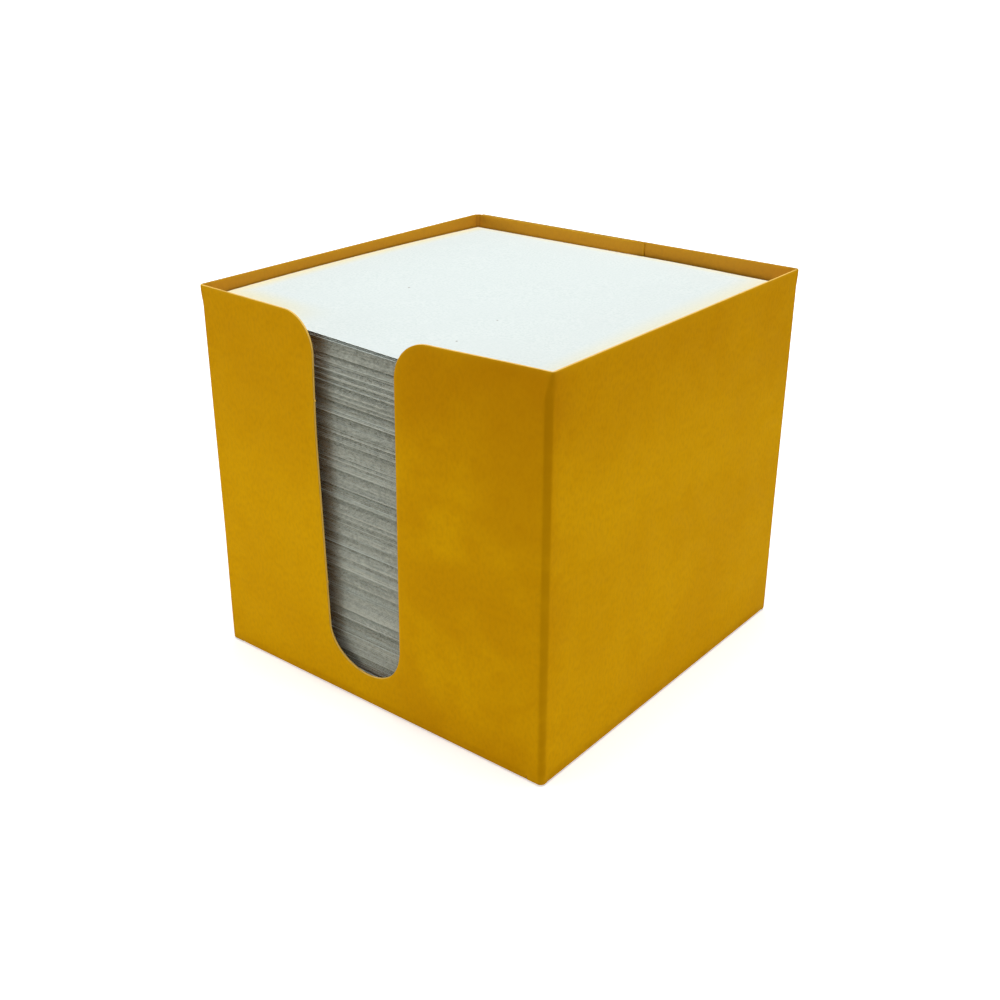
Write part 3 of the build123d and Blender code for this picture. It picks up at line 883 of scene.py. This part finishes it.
def loose_sheet(name, order, tone, greyness):
    """One sheet as a closed thin slab with gentle waves, laid on the ones below."""
    low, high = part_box(name)
    cells = SHEET_CELLS
    side = np.linspace(0, 1, cells + 1)
    x, y = np.meshgrid(low.x + side * (high.x - low.x), low.y + side * (high.y - low.y), indexing="ij")
    x, y = x.ravel(), y.ravel()
    phase = WAVE_STEP * order
    wave = 2 + np.sin(x / WAVE_LENGTHS[0] + phase) + np.sin(y / WAVE_LENGTHS[1] + 0.6 * phase)
    top = settled(np.stack([x, y, np.full(len(x), high.z)], axis=1))
    top[:, 2] += WAVE * (order + wave / 4)
    bottom = top - (0, 0, SHEET * SHEET_BODY)
    size = len(x)

    def index(i, j):
        return i * (cells + 1) + j

    faces = []
    for i in range(cells):
        for j in range(cells):
            square = (index(i, j), index(i + 1, j), index(i + 1, j + 1), index(i, j + 1))
            faces.append(square)
            faces.append(tuple(size + corner for corner in square[::-1]))
    flat_faces = len(faces)
    edge = [index(i, 0) for i in range(cells)] + [index(cells, j) for j in range(cells)]
    edge += [index(i, cells) for i in range(cells, 0, -1)] + [index(0, j) for j in range(cells, 0, -1)]
    for here, there in zip(edge, edge[1:] + edge[:1]):
        faces.append((here, size + here, size + there, there))
    piece = mesh_piece(f"{name}_paper", np.concatenate([top, bottom]), faces)
    store(piece.data, "cut", [0.0] * flat_faces + [greyness] * (len(faces) - flat_faces), domain="FACE")
    store(piece.data, "tone", [tone] * (2 * size))
    return piece


top_paper = paper_material("top_note_paper", SPECKS)
for order, (name, tone, greyness) in enumerate(LOOSE_SHEETS):
    sheet = loose_sheet(name, order, tone, greyness)
    sheet.data.materials.append(top_paper if name == "top_sheet" else note_paper)
    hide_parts(name)
    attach(sheet, name)

# ------------------------------------------------------
# The table and the light. A white table top that runs out of view, two long soft lamps low to the
# left front and to the right, one high above, and a pale room.
# ------------------------------------------------------
TABLE_HALF = 3.0
TABLE_GLOW = (90 * MM, 600 * MM, 0.52, 1.0)   # from where to where it gains brightness, and from what to what
ROOM_LIGHT = 0.09                    # brightness of the room where the camera does not see it
SIDE_LAMP = (0.9, 0.3)
TOP_LAMP = (0.76, 0.76)


def stage_material():
    """A matt white table: it shows the object's soft shadow, and is white where nothing shades it."""
    material, tree, shader = new_material("white_table")
    place = add_node(tree, "ShaderNodeTexCoord").outputs["Object"]
    dull, pale = (0.86, 0.86, 0.86, 1), (0.88, 0.88, 0.88, 1)
    tree.links.new(mixed(tree, noise(tree, place, 300), dull, pale), shader.inputs["Base Color"])
    shader.inputs["Roughness"].default_value = 0.9
    shader.inputs["Specular IOR Level"].default_value = 0.0
    path = add_node(tree, "ShaderNodeLightPath").outputs
    seen = joined(tree, "MAXIMUM", path["Is Camera Ray"], path["Is Glossy Ray"])
    away = add_node(tree, "ShaderNodeVectorMath", {0: place}, operation="LENGTH").outputs["Value"]
    strength = joined(tree, "MULTIPLY", seen, ramp(tree, away, *TABLE_GLOW))
    shader.inputs["Emission Color"].default_value = (1, 1, 1, 1)
    tree.links.new(strength, shader.inputs["Emission Strength"])
    return material


table = mesh_piece("table_top", [(-TABLE_HALF, -TABLE_HALF, 0), (TABLE_HALF, -TABLE_HALF, 0),
                                 (TABLE_HALF, TABLE_HALF, 0), (-TABLE_HALF, TABLE_HALF, 0)], [(0, 1, 2, 3)])
table.data.materials.append(stage_material())


def soft_lamp(name, place, size, power):
    """A rectangular softbox at a place, turned towards the box."""
    light = bpy.data.lights.new(name, "AREA")
    light.shape = "RECTANGLE"
    light.size, light.size_y = size
    light.energy = power
    lamp = bpy.data.objects.new(name, light)
    bpy.context.scene.collection.objects.link(lamp)
    lamp.location = place
    towards_box = Vector((0, 0, HEIGHT / 2)) - Vector(place)
    lamp.rotation_euler = towards_box.to_track_quat("-Z", "Y").to_euler()


soft_lamp("left_lamp", (-0.84, -0.76, 0.17), SIDE_LAMP, power=5.28)
soft_lamp("right_lamp", (1.13, 0.02, 0.17), SIDE_LAMP, power=3.36)
soft_lamp("top_lamp", (0.0, 0.045, 1.2), TOP_LAMP, power=12.6)

world = bpy.data.worlds.new("pale_room")
bpy.context.scene.world = world
world.use_nodes = True
room = world.node_tree
background = next(n for n in room.nodes if n.type == "BACKGROUND")
path = add_node(room, "ShaderNodeLightPath").outputs
seen = joined(room, "MAXIMUM", path["Is Camera Ray"], path["Is Glossy Ray"])
seen = joined(room, "MAXIMUM", seen, path["Is Transmission Ray"])
background.inputs["Color"].default_value = (1, 1, 1, 1)
room.links.new(ramp(room, seen, 0.0, 1.0, ROOM_LIGHT, 1.0), background.inputs["Strength"])

# The camera stands to the right of the front wall and looks down on the box.
AZIMUTH = math.radians(38.5489)
ELEVATION = math.radians(24.5699)
ROLL = math.radians(0.2051)
DISTANCE = 271.514 * MM
AIM_POINT = Vector((11.5309 * MM, -16.5696 * MM, 42.0 * MM))
FOCAL_LENGTH = 45.404                # in mm, as the sensor is
SENSOR_WIDTH = 36.0
backward = Vector((math.sin(AZIMUTH) * math.cos(ELEVATION), -math.cos(AZIMUTH) * math.cos(ELEVATION),
                   math.sin(ELEVATION)))
level_right = Vector((math.cos(AZIMUTH), math.sin(AZIMUTH), 0))
level_up = backward.cross(level_right)
right = math.cos(ROLL) * level_right + math.sin(ROLL) * level_up
up = -math.sin(ROLL) * level_right + math.cos(ROLL) * level_up
camera_data = bpy.data.cameras.new("camera")
camera_data.lens = FOCAL_LENGTH
camera_data.sensor_width = SENSOR_WIDTH
camera_data.clip_start = 0.01
camera_data.clip_end = 20.0
camera = bpy.data.objects.new("camera", camera_data)
bpy.context.scene.collection.objects.link(camera)
camera.matrix_world = Matrix.Translation(AIM_POINT + DISTANCE * backward) @ Matrix(
    (right, up, backward)).transposed().to_4x4()
bpy.context.scene.camera = camera
bpy.context.scene.view_settings.view_transform = "Standard"
